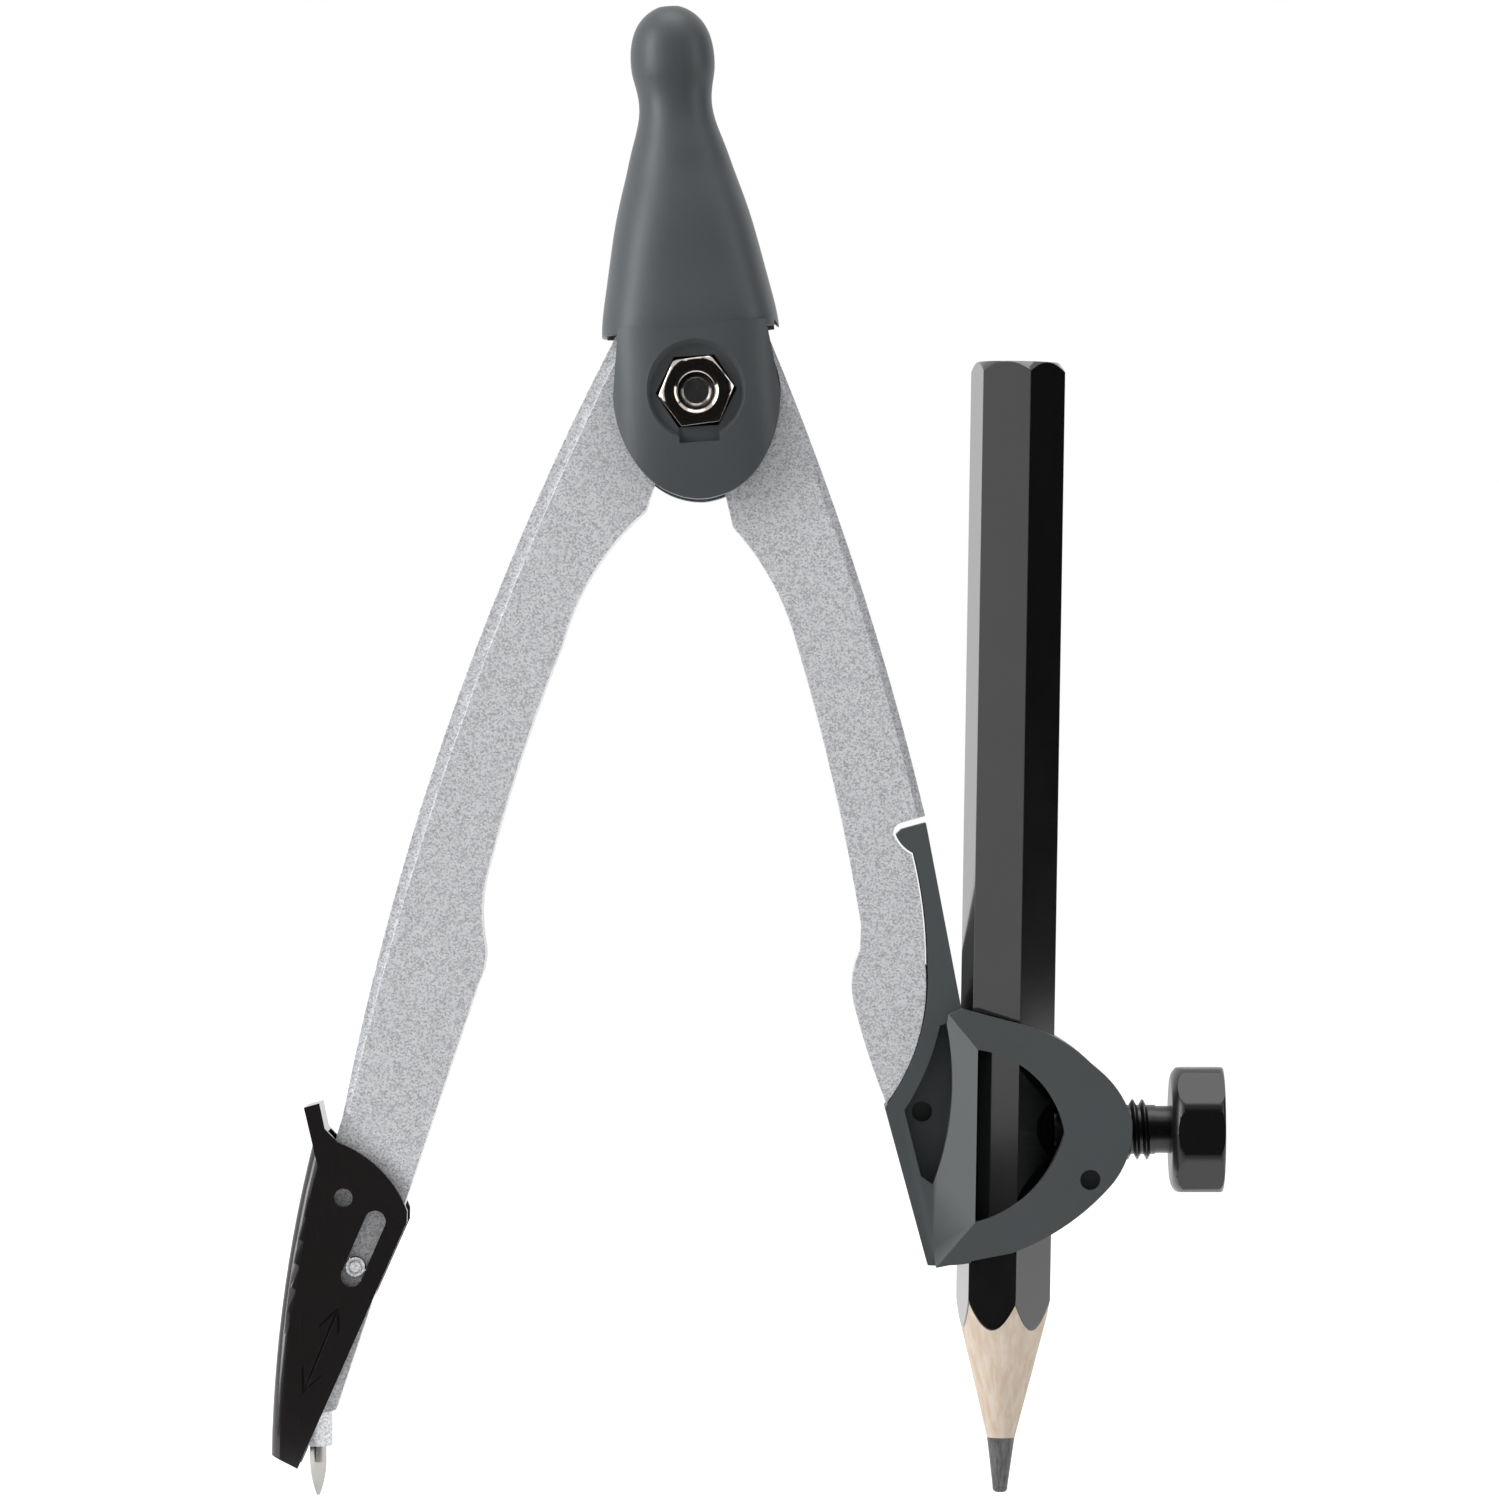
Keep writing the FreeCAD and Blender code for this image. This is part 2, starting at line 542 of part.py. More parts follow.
def knuckle_room(name, front, rear):
    """The room that a leg leaves for the other leg's disc."""
    return drum(name, size("knuckle_radius") + size("knuckle_gap"), front, rear)


def screw_bore(name):
    return drum(name, size("screw_radius") + size("bore_gap"), 20, 20)


def along_needle(height):
    """A point on the needle's axis, in the needle leg's frame, at a height above its tip."""
    angle = size("needle_leg_angle")
    return -sine(angle) * height, height * cosine(angle) - size("needle_leg_length")


def needle_bar(name, radius, low, high):
    bar = DOCUMENT.addObject("Part::Cylinder", name)
    bind(bar, Radius=radius, Height=high - low)
    x, z = along_needle(low)
    return place(bar, x, 0, z, -size("needle_leg_angle"))


def needle_leg():
    half, step, lap = sizes("leg_half", "band_step", "half_lap_gap")
    blade = outline("needle_blade", [
        sizes("thigh_outer_x", "thigh_outer_z"),
        foot_point("shin_outer") + [-size("outer_bow")],
        foot_point("ankle"),
        foot_point("foot_outer"),
        foot_point("foot_inner"),
    ] + inner_edge())
    bulge_height = size("bulge_up")
    shin = (size("step_inner_up") - bulge_height) / (size("foot_inner_up") - bulge_height)
    step_x = size("bulge_x") + (size("foot_inner_x") - size("bulge_x")) * shin
    panel = outline("needle_panel", [
        (size("panel_top_x"), size("thigh_outer_z")),
        foot_point("panel_foot") + [-size("panel_bow")],
        (step_x, low_height("step_inner"), size("step_bow")),
    ] + inner_edge())
    stick, boss = sizes("needle_stick_out", "boss_length")
    body = fuse(
        "needle_leg_body",
        plate(blade, half - step, half - step),
        plate(panel, half, half),
        knuckle("needle_knuckle", half, -lap),
        needle_bar("needle_boss", size("boss_radius"), stick, stick + boss),
    )
    pin_x, pin_z = foot_point("guard_pin")
    depth = size("detent_dimple_depth")
    x, z = foot_point("detent")
    socket = size("needle_radius") + size("needle_fit")
    leg = cut(
        "needle_leg_cut", body,
        knuckle_room("needle_leg_room", lap, half + 1),
        screw_bore("needle_leg_bore"),
        drum("guard_pin_bore", size("guard_pin_radius") + size("pin_gap"), 20, 20, pin_x, pin_z),
        drum("detent_dimple", size("detent_dimple_radius"), 20, depth - half + step, x, z),
        needle_bar("needle_socket", socket, as_size(0), stick + boss - 0.5),
    )
    keep(pivot_place(leg, size("needle_leg_angle")), "needle_leg")


def needle():
    radius, point, taper = sizes("needle_radius", "needle_point_radius", "needle_taper")
    length = size("needle_stick_out") + size("boss_length") - 0.6
    profile = outline("needle_half", [
        (0, length), (0, 0), (point, 0.0), (radius, taper, -size("needle_bow")), (radius, length),
    ])
    keep(spun("needle_turned", profile), "needle")


def guard_place(item):
    return pivot_place(item, size("needle_leg_angle"))


def guard_groove(name, length, turn, x, z):
    """One engraved line, centred across, from a point down its own direction."""
    width = size("arrow_line")
    depth, face = size("arrow_depth"), size("leg_half") - size("band_step") + size("guard_side_gap")
    outside = face + size("guard_wall")
    line = block(name, -width / 2, width / 2, 20, depth - outside, -length, 0)
    return turned(name + "_set", line, turn, x, 0, z)


def guard_arrow():
    """The double-headed arrow that shows how the guard slides."""
    top, bottom, barb, turn = sizes("arrow_top", "arrow_bottom", "arrow_barb", "arrow_turn")
    grooves = []
    length = bottom - top
    grooves.append(guard_groove("arrow_shaft", length, 0, 0, -top))
    for side in (-1, 1):
        grooves.append(guard_groove("arrow_barb_top_%d" % side, barb, 24 * side, 0, -top))
        grooves.append(guard_groove("arrow_barb_foot_%d" % side, barb, 180 + 24 * side, 0, -bottom))
    arrow = DOCUMENT.addObject("Part::Compound", "guard_arrow")
    arrow.Links = grooves
    return place(arrow, size("guard_pin_x"), 0, low_height("guard_pin"), turn)


def guard_slot():
    """The slot that slides on the pin: a round-ended hole along the guard."""
    radius = size("guard_pin_radius") + size("pin_gap") + 0.02
    up, down = sizes("guard_slot_up", "guard_slot_down")
    slot = outline("guard_slot_outline", [
        (-radius, -down), (radius, -down, -radius * 0.96), (radius, up), (-radius, up, -radius * 0.96),
    ])
    x, z = foot_point("guard_pin")
    turn = size("guard_slot_turn")
    return turned("guard_slot", plate(slot, 20, 20), turn, x, 0, z)


def needle_guard():
    inside = size("leg_half") - size("band_step") + size("guard_side_gap")
    wall = size("guard_wall")
    outside = inside + wall
    shell = outline("guard_outline", [
        foot_point("guard_lip"),
        foot_point("guard_tip"),
        foot_point("guard_tab"),
        foot_point("guard_heel"),
        foot_point("guard_brow") + [size("guard_brow_bow")],
        foot_point("guard_cheek"),
        foot_point("guard_toe"),
        foot_point("guard_tail"),
        foot_point("guard_nape") + [size("guard_spine_bow")],
    ])
    blank = plate(shell, outside, outside)
    spine = abs(NUMBERS["guard_nape_up"] - NUMBERS["guard_tail_up"])
    corner = size("guard_corner")
    shell = rounded("guard_rounded", blank, corner, lambda edge: is_spine(edge, spine, outside.number))
    tail_x, tail_z = size("guard_tail_x") + wall, low_height("guard_tail") - 2
    nape_x, nape_z = size("guard_nape_x") + wall, low_height("guard_nape")
    inner = outline("guard_inside_outline", [
        (nape_x, nape_z, size("guard_spine_bow")), (nape_x, nape_z + 10), (5, nape_z + 10),
        (5, tail_z), (tail_x, tail_z),
    ])
    tools = [
        plate(inner, inside, inside),
        guard_slot(),
        guard_arrow(),
        drum("detent_hole", size("detent_hole_radius"), 20, -inside + 0.1, *foot_point("detent")),
    ]
    keep(guard_place(cut("guard", shell, *tools)), "needle_guard")


def is_spine(edge, length, outside):
    """Whether an edge is one of the long curved ones at the guard's back."""
    box = edge.BoundBox
    flat = box.YLength < 0.01 and abs(abs(box.YMin) - outside) < 0.01
    return flat and abs(box.ZLength - length) < 0.5 and edge.Curve.TypeId == "Part::GeomCircle"


def guard_pin():
    outside = size("leg_half") - size("band_step") + size("guard_side_gap") + size("guard_wall") - 0.1
    pin = drum("guard_pin_bar", size("guard_pin_radius"), outside, outside)
    ring, width, depth = sizes("pin_ring_radius", "pin_ring_width", "pin_ring_depth")
    core = drum("pin_ring_core", ring - width, 21, 21)
    groove = cut("pin_ring", drum("pin_ring_outer", ring, 20, depth - outside), core)
    pin = cut("guard_pin_cut", pin, groove)
    x, z = foot_point("guard_pin")
    pin = turned("guard_pin_set", pin, 0, x, 0, z)
    keep(guard_place(turned("guard_pin_frame", pin, 0)), "guard_pin")


def pencil_inner_edge():
    return [
        sizes("pencil_bulge_x", "pencil_bulge_z", "pencil_foot_bow"),
        sizes("pencil_grip_x", "pencil_grip_z", "pencil_bulge_bow"),
        sizes("pencil_calf_x", "pencil_calf_z"),
        sizes("pencil_thigh_x", "pencil_thigh_z") + [-size("pencil_calf_bow")],
        sizes("pencil_hip_x", "pencil_hip_z") + [-size("pencil_thigh_bow")],
        sizes("pencil_crotch_x", "pencil_crotch_z"),
        (0, 0),
    ]


def pencil_blade(name, rim):
    """The pencil leg's outline, with its outer edge drawn in by a rim."""
    shoulder_x, shoulder_z = sizes("pencil_shoulder_x", "pencil_shoulder_z")
    outer_x, outer_z = sizes("pencil_outer_x", "pencil_outer_z")
    notch_x, notch_z = sizes("notch_inner_x", "notch_inner_z")
    return outline(name, [
        (shoulder_x - rim, shoulder_z),
        (outer_x - rim, outer_z, size("pencil_outer_bow")),
        (outer_x - size("notch_mouth"), outer_z),
        (notch_x, notch_z, -size("notch_bow")),
        sizes("notch_lip_x", "notch_lip_z") + [-size("notch_bow")],
        sizes("seam_middle_x", "seam_middle_z", "seam_upper_bow"),
        sizes("seam_foot_x", "seam_foot_z", "seam_lower_bow"),
    ] + pencil_inner_edge())


def tongue(name, gap):
    """The leg's hidden tongue, or with a gap the groove that it fits."""
    reach = size("tongue_reach") + gap
    middle_x, middle_z = sizes("seam_middle_x", "seam_middle_z")
    foot_x, foot_z = sizes("seam_foot_x", "seam_foot_z")
    shape = outline(name, [
        (middle_x, middle_z + gap), (middle_x + reach, middle_z + gap),
        (foot_x + reach, foot_z - reach / 2 - gap * 2, size("seam_lower_bow")),
        (foot_x + 0.4 - gap, foot_z + 0.4),
    ])
    half = size("tongue_half") + gap
    return plate(shape, half, half)


def pencil_leg():
    half, step, lap = sizes("leg_half", "band_step", "half_lap_gap")
    body = fuse(
        "pencil_leg_body",
        plate(pencil_blade("pencil_blade", as_size(0)), half - step, half - step),
        plate(pencil_blade("pencil_panel", size("rim_width")), half, half),
        knuckle("pencil_knuckle", -lap, half),
        tongue("holder_tongue", as_size(0)),
    )
    leg = cut(
        "pencil_leg_cut", body,
        knuckle_room("pencil_leg_room", half + 1, lap),
        screw_bore("pencil_leg_bore"),
    )
    keep(pivot_place(leg, -size("pencil_leg_angle")), "pencil_leg")


def in_clamp_frame(name, item, extra=0):
    """Sets an item, drawn about the clamp's middle, where the clamp is on the pencil leg."""
    return turned(name, item, size("clamp_turn") + extra, size("clamp_x"), 0, size("clamp_z"))


def clamp_point(x, z):
    """A point of the clamp's frame, in the pencil leg's."""
    turn = size("clamp_turn")
    x, z = as_size(x), as_size(z)
    across = size("clamp_x") + x * cosine(turn) + z * sine(turn)
    return across, size("clamp_z") - x * sine(turn) + z * cosine(turn)


def bow_rim():
    """The bow's outer edge, from its top corner round its nose to its heel."""
    return [
        sizes("bow_top_x", "bow_top_z"),
        sizes("bow_shoulder_x", "bow_shoulder_z", "bow_shoulder_bow"),
        sizes("bow_nose_x", "bow_nose_z", "bow_nose_bow"),
        sizes("bow_chin_x", "bow_chin_z", "bow_chin_bow"),
        sizes("bow_base_x", "bow_base_z", "bow_base_bow"),
    ]


def holder_outline():
    gap = size("seam_gap")
    hook_z = size("pencil_outer_z") - size("hook_gap")
    return outline("holder_outline", [
        (size("pencil_outer_x") - size("notch_mouth"), hook_z),
        (size("arm_top_x"), hook_z),
        sizes("arm_waist_x", "arm_waist_z"),
    ] + bow_rim() + [
        sizes("heel_x", "heel_z", "heel_bow"),
        (size("seam_foot_x") - gap, size("seam_foot_z") - gap * 1.4),
        (size("seam_middle_x") + gap, size("seam_middle_z"), -size("seam_lower_bow")),
        (size("notch_lip_x") + gap, size("notch_lip_z"), -size("seam_upper_bow")),
        (size("notch_inner_x") + gap * 1.3, size("notch_inner_z") - gap / 2, size("notch_bow")),
    ])


def saddle_cutter(name, side):
    """A block whose face is the saddle's slope, in front of it or behind."""
    deep, arm, run = sizes("bow_half", "arm_half", "saddle_run")
    slope = (deep - arm) / run
    angle = Size(math.degrees(math.atan(slope.number)), "(atan(%s) / 1 deg)" % slope.text)
    solid = DOCUMENT.addObject("Part::Box", name)
    long_side, short_side = (12, 6) if side < 0 else (6, 12)
    bind(solid, Length=long_side, Width=short_side, Height=60)
    turn = -angle + 180 if side < 0 else angle + 90
    place(solid, -size("window_left"), deep * side, -30, turn, (0, 0, 1))
    return in_clamp_frame(name + "_set", solid)


def window():
    left, right, top, bottom = sizes("window_left", "window_right", "window_top", "window_bottom")
    shape = outline("window_outline", [
        (-left, -bottom), (right, 0, -size("window_lower_bow")), (-left, top, -size("window_upper_bow")),
    ])
    return in_clamp_frame("window", plate(shape, 20, size("window_floor")))


def pocket(name, front, rear):
    """The curved three-cornered pocket beside the saddle."""
    top_x, top_z = sizes("pocket_top_x", "pocket_top_z")
    width = size("pocket_top_width")
    foot_x, foot_z = sizes("pocket_foot_x", "pocket_foot_z")
    shape = outline(name, [
        (top_x - width, top_z),
        sizes("pocket_side_x", "pocket_side_z", "pocket_side_bow"),
        (foot_x, foot_z),
        (foot_x + size("pocket_foot_width"), foot_z - size("pocket_foot_rise") * 3),
        (top_x, top_z, -size("pocket_saddle_bow")),
    ])
    return plate(shape, front, rear)


def pencil_holder():
    arm, deep = sizes("arm_half", "bow_half")
    left, top, bottom = sizes("window_left", "window_top", "window_bottom")
    window_top = clamp_point(-left, top)
    window_foot = clamp_point(-left, -bottom)
    mitre = sizes("mitre_top_x", "mitre_top_z")
    heel = (size("heel_x") + 0.6, size("heel_z") - 0.25)
    waist = sizes("arm_waist_x", "arm_waist_z")
    bow = outline("bow_outline", [mitre, waist] + bow_rim() + [heel, window_foot, window_top])
    side = (size("pocket_side_x"), size("pocket_foot_z"))
    saddle = outline("saddle_outline", [mitre, window_top, window_foot, heel, side])
    cutters = saddle_cutter("saddle_front", -1), saddle_cutter("saddle_back", 1)
    wedge = cut("saddle", plate(saddle, deep, deep), *cutters)
    body = fuse("holder_body", plate(holder_outline(), arm, arm), plate(bow, deep, deep), wedge)
    channel_radius = corner_radius(size("pencil_across_flats"), 6) + size("channel_gap")
    channel = DOCUMENT.addObject("Part::Cylinder", "pencil_channel")
    bind(channel, Radius=channel_radius, Height=60)
    place(channel, 0, 0, -30)
    hole = DOCUMENT.addObject("Part::Cylinder", "clamp_hole")
    bind(hole, Radius=size("thread_radius") + size("clamp_hole_gap"), Height=20)
    web = arm - size("pocket_depth")
    radius, depth = sizes("dot_radius", "dot_depth")
    dots = [
        drum("pocket_dot", radius, 20, depth - web, *sizes("pocket_dot_x", "pocket_dot_z")),
        drum("bow_dot", radius, 20, depth - deep, *sizes("bow_dot_x", "bow_dot_z")),
    ]
    level = as_size(90) - size("pencil_lean")
    tools = [
        window(), in_clamp_frame("channel_set", channel), in_clamp_frame("clamp_hole_set", hole, level),
        pocket("front_pocket", 20, -web), pocket("back_pocket", -web, 20),
        tongue("tongue_groove", size("tongue_gap")),
    ]
    keep(pivot_place(cut("holder", body, *tools, *dots), -size("pencil_leg_angle")), "pencil_holder")


def clamp_place(item, lean=0):
    """Puts an item drawn about the clamp's middle where the clamp is at rest."""
    leg, length, angle = -size("pencil_leg_angle"), size("needle_leg_length"), size("needle_leg_angle")
    x, z = sizes("clamp_x", "clamp_z")
    world_x = length * sine(angle) + x * cosine(leg) + z * sine(leg)
    world_z = length * cosine(angle) - x * sine(leg) + z * cosine(leg)
    return place(item, world_x, 0, world_z, lean)


def rod(name, radius, start, end):
    """A cylinder along the clamp's X axis."""
    solid = DOCUMENT.addObject("Part::Cylinder", name)
    start = as_size(start)
    bind(solid, Radius=radius, Height=as_size(end) - start)
    return place(solid, start, 0, 0, 90)


def thread_ridge():
    """The moulded thread's one ridge, as a helix about the clamp's X axis."""
    pitch, outer = NUMBERS["thread_pitch"], NUMBERS["thread_radius"]
    inner = outer - NUMBERS["thread_depth"] - 0.05
    length = NUMBERS["thread_end"] - NUMBERS["thread_start"] - pitch
    helix = Part.makeHelix(pitch, length, inner)
    corners = [(inner, -pitch * 0.4), (outer, -pitch * 0.06), (outer, pitch * 0.06), (inner, pitch * 0.4)]
    corners.append(corners[0])
    profile = Part.makePolygon([FreeCAD.Vector(x, 0, z) for x, z in corners])
    ridge = Part.Wire(helix.Edges).makePipeShell([profile], True, True)
    ridge.translate(FreeCAD.Vector(0, 0, NUMBERS["thread_start"] + pitch / 2))
    ridge.rotate(FreeCAD.Vector(), FreeCAD.Vector(0, 1, 0), 90)
    result = DOCUMENT.addObject("Part::Feature", "thread_ridge")
    result.Shape = ridge
    return result


def clamp_screw():
    radius, depth = sizes("thread_radius", "thread_depth")
    start, end, knob = sizes("thread_start", "thread_end", "knob_start")
    screw = fuse(
        "clamp_screw_body",
        rod("clamp_point", size("clamp_tip_radius"), size("clamp_tip"), start),
        rod("clamp_core", radius - depth, start, end),
        rod("clamp_shank", size("shank_radius"), end, knob + size("knob_socket_depth")),
        thread_ridge(),
    )
    keep(clamp_place(screw), "clamp_screw")


def clamp_knob():
    start, length, shoulder, rim = sizes("knob_start", "knob_length", "knob_shoulder", "knob_rim")
    blank = DOCUMENT.addObject("Part::Prism", "knob_blank")
    blank.Polygon = 8
    flats = size("knob_across_flats")
    bind(blank, Circumradius=corner_radius(flats, 8), Height=length)
    place(blank, 0, 0, 0, 22.5, (0, 0, 1))
    lobes = turned("knob_lobes", blank, 90, start, 0, 0)
    radius = size("knob_round_radius")
    profile = outline("knob_profile", [
        (0, start), (radius * 0.76, start), (radius, start + shoulder, -size("knob_shoulder") * 0.3),
        (radius, start + length - rim), (radius - rim, start + length, -rim * 0.3), (0, start + length),
    ])
    barrel = spun("knob_barrel", profile)
    body = common("knob_body", lobes, turned("knob_barrel_set", barrel, 90))
    bore, deep = size("shank_radius") + size("bore_gap"), size("knob_socket_depth") + 0.1
    socket = rod("knob_socket", bore, start - 1, start + deep)
    keep(clamp_place(cut("knob", body, socket)), "clamp_knob")


def pencil_place(item):
    dropped = turned(item.Name + "_dropped", item, 0, 0, 0, -size("pencil_below_clamp"))
    return clamp_place(turned(item.Name + "_stood", dropped, 0), size("pencil_lean"))


def pencil_hexagon(name, across_flats, low, high):
    solid = DOCUMENT.addObject("Part::Prism", name)
    solid.Polygon = 6
    bind(solid, Circumradius=corner_radius(across_flats, 6), Height=as_size(high) - low)
    return place(solid, 0, 0, low, -size("pencil_turn") - 60, (0, 0, 1))


def blunt_end(radius, length):
    """The profile of the pencil's far end, with its rounded edge."""
    return [
        (radius, length - size("top_round_height")), (radius - size("top_round_width"), length), (0, length),
    ]


def sharpening(name, radius, length):
    """What a sharpener leaves: a cone that widens above the point, below the far end."""
    angle = size("cone_half_angle")
    point, lead = sizes("lead_point_height", "lead_radius")
    spread = sine(angle) / cosine(angle)
    cone_top = point + (radius - lead) / spread
    sides = [(0, point), (lead, point), (radius, cone_top)]
    return spun(name, outline(name + "_profile", sides + blunt_end(radius, length)))


def pencil():
    flats, paint, length = sizes("pencil_across_flats", "paint_thickness", "pencil_length")
    lead, tip, point, nose = sizes("lead_radius", "lead_tip_radius", "lead_point_height", "lead_round")
    corner = corner_radius(flats, 6) + 0.01
    wood_flats = flats - paint * 2
    lead_bore = DOCUMENT.addObject("Part::Cylinder", "lead_bore")
    inner_length = length - paint
    bind(lead_bore, Radius=lead + size("lead_fit"), Height=length * 2)
    wood_hexagon = pencil_hexagon("wood_hexagon", wood_flats, 0, length)
    wood_blank = common("wood_blank", wood_hexagon, sharpening("wood_cone", corner - paint, inner_length))
    keep(pencil_place(cut("wood", wood_blank, lead_bore)), "pencil_wood")
    coat_hexagon = pencil_hexagon("coat_hexagon", flats, 0, length)
    coat_blank = common("coat_blank", coat_hexagon, sharpening("coat_cone", corner, length))
    filling = spun("filling", outline("filling_profile", [(0, -2), (corner - paint, -2)]
                                      + blunt_end(corner - paint, inner_length)))
    inside = common("coat_inside", pencil_hexagon("filling_hexagon", wood_flats, -1, length), filling)
    keep(pencil_place(cut("coat", coat_blank, inside)), "pencil_paint")
    profile = outline("lead_profile", [
        (0, 0), (tip * 0.55, 0), (tip, nose, -nose * 0.25), (lead, point),
        (lead, inner_length), (0, inner_length),
    ])
    keep(pencil_place(spun("lead_turned", profile)), "pencil_lead")


def check_and_write():
    DOCUMENT.recompute()
    for item in DOCUMENT.Objects:
        if "Invalid" in item.State or "Error" in item.State:
            raise RuntimeError("%s failed: %s" % (item.Name, item.State))
    for item in PARTS:
        if item.Shape.isNull() or not item.Shape.isValid() or not item.Shape.Solids:
            raise RuntimeError("%s has no valid solid" % item.Label)
    os.makedirs("parts", exist_ok=True)
    for item in PARTS:
        shape = item.Shape
        solid = shape.Solids[0] if len(shape.Solids) == 1 else shape
        solid.exportStep("parts/%s.step" % item.Label)
        print("%-24s %d solid  %.2f mm3" % (item.Label, len(shape.Solids), shape.Volume))


fill_sheet()
head_fork()
pivot_washers()
pivot_screw()
pivot_nut()
needle_leg()
needle()
needle_guard()
guard_pin()
pencil_leg()
pencil_holder()
clamp_screw()
clamp_knob()
pencil()
check_and_write()
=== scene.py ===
import math

import bpy
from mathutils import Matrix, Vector


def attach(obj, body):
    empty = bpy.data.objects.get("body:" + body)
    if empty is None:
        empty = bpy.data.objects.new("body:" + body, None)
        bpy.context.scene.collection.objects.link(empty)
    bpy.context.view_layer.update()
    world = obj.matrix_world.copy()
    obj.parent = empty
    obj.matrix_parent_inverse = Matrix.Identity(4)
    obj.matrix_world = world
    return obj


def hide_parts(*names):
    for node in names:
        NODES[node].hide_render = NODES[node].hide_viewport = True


# A school drawing compass, in metres, in the CAD part's frame: the needle's point is the origin,
# +X runs towards the pencil, +Z is up and -Y is the side that faces the camera.

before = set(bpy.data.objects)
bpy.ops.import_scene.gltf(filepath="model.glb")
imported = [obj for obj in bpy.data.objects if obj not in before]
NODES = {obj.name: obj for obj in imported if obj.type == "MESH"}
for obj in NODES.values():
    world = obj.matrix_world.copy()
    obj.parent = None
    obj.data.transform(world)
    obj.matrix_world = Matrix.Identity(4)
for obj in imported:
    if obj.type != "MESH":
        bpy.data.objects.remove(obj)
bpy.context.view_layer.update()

# Soft edges

MERGE_DISTANCE = 0.000002
FLAT_WITHIN = math.radians(0.5)
ROUNDED_ABOVE = math.radians(35.0)
SMOOTH_BELOW = math.radians(40)
ROUNDING_STEPS = 2
LARGE_FACE_WEIGHT = 90

# Each node with soft edges: the body that carries it, and the width of its rounding
SOFT_EDGES = {
    "needle_leg": ("needle_arm", 0.0003),
    "pencil_leg": ("pencil_arm", 0.0003),
    "pencil_holder": ("pencil_arm", 0.00012),
    "needle_guard": ("guard", 0.00012),
    "clamp_knob": ("knob", 0.0006),
    "pencil_paint": ("pencil", 0.00004),
    "pivot_nut": ("head", 0.00006),
}

# Surface texture: noise scales are in repeats to a metre, relief heights in metres

MOULD_GRAIN_SCALE = 7000.0
MOULD_MOTTLE_SCALE = 140.0
MOULD_MOTTLE = 0.08
MOULD_ROUGHNESS_SPREAD = 0.12
MOULD_RELIEF = 0.00004
FLAKE_SCALE = 8200.0
FLAKE_CLOUD_SCALE = 3200.0
FLAKE_BRIGHTNESS_SPREAD = 1.3
FLAKE_CLOUD_SPREAD = 0.9
FLAKE_LEAST_ROUGHNESS = 0.3
FLAKE_ROUGHNESS_SPREAD = 0.25
FLAKE_RELIEF = 0.00003
SMEAR_SCALE = 95.0
SMEAR = 0.12
SCRATCH_TURN = (0.2, 0.5, 0.9)
SCRATCH_STRETCH = (6000.0, 5200.0, 160.0)
SCRATCH_STARTS = 0.7
SCRATCH_FULL = 0.78
SCRATCH_RELIEF = 0.00001
STEEL_SCRATCHES = 0.15
STEEL_TONE_SCALE = 700.0
STEEL_DARK_SHARE = 0.8
GLOSS_SCRATCHES = 0.12
GLOSS_TINT_SCALE = 2500.0
GLOSS_MOTTLE = 0.1
WOOD_GRAIN_STRETCH = (1900.0, 1900.0, 190.0)
WOOD_RING_STRETCH = (300.0, 300.0, 900.0)
WOOD_RING_SHARE = 0.35
WOOD_RELIEF = 0.00005
GRAPHITE_STRETCH = (5200.0, 5200.0, 420.0)
GRAPHITE_LEAST_ROUGHNESS = 0.22
GRAPHITE_ROUGHNESS_SPREAD = 0.3
GRAPHITE_RELIEF = 0.00006
DARK_TONE_ENDS = 0.35
PALE_TONE_STARTS = 0.65

# Camera and studio: the camera looks along +Y, and the compass stands on a white floor in a
# white surround. PICTURE_WIDTH is how much of the plane FRONT_PLANE before the origin is seen.

CAMERA_SIDE = 0.03574
CAMERA_HEIGHT = 0.06178
CAMERA_DISTANCE = 0.654
CAMERA_NEAR = 0.01
SENSOR_WIDTH = 36.0
FRONT_PLANE = 0.002
PICTURE_WIDTH = 0.12388

WHITE = (1, 1, 1, 1)
WORLD_GLOW = 0.28
WORLD_SEEN_GLOW = 0.72
FLOOR_SIZE = 6.0
FLOOR_PLACE = (0.03, 1.2, -0.0006)
FLOOR_SEEN_GLOW = 0.78
CARD_TONE_SCALE = 3.0
CARD_DARK = (0.02, 0.02, 0.02)
CARD_PALE = (0.03, 0.03, 0.03)

CARDS = {
    "Front_Card": {
        "place": (0.28, -0.75, 0.05), "target": (0.28, 0.0, 0.05), "width": 1.25, "height": 1.5},
    "Floor_Card": {
        "place": (0.28, -0.39, -0.0003), "target": (0.28, -0.39, 1.0), "width": 1.25, "height": 0.72},
    "Right_Card": {
        "place": (0.9, -0.1, 0.05), "target": (0.0, -0.1, 0.05), "width": 1.2, "height": 1.5},
}
LAMP_TARGET = (0.035, 0.0, 0.062)
LAMPS = {
    "Key_Left": {"place": (-0.6, -0.3, 0.25), "width": 0.28, "height": 0.6, "power": 3.1},
    "Fill_Right": {"place": (0.6, -0.22, 0.2), "width": 0.2, "height": 0.5, "power": 0.7},
    "Top": {"place": (0.03, -0.05, 0.7), "width": 0.5, "height": 0.4, "power": 1.5},
}


# Nodes that several materials share

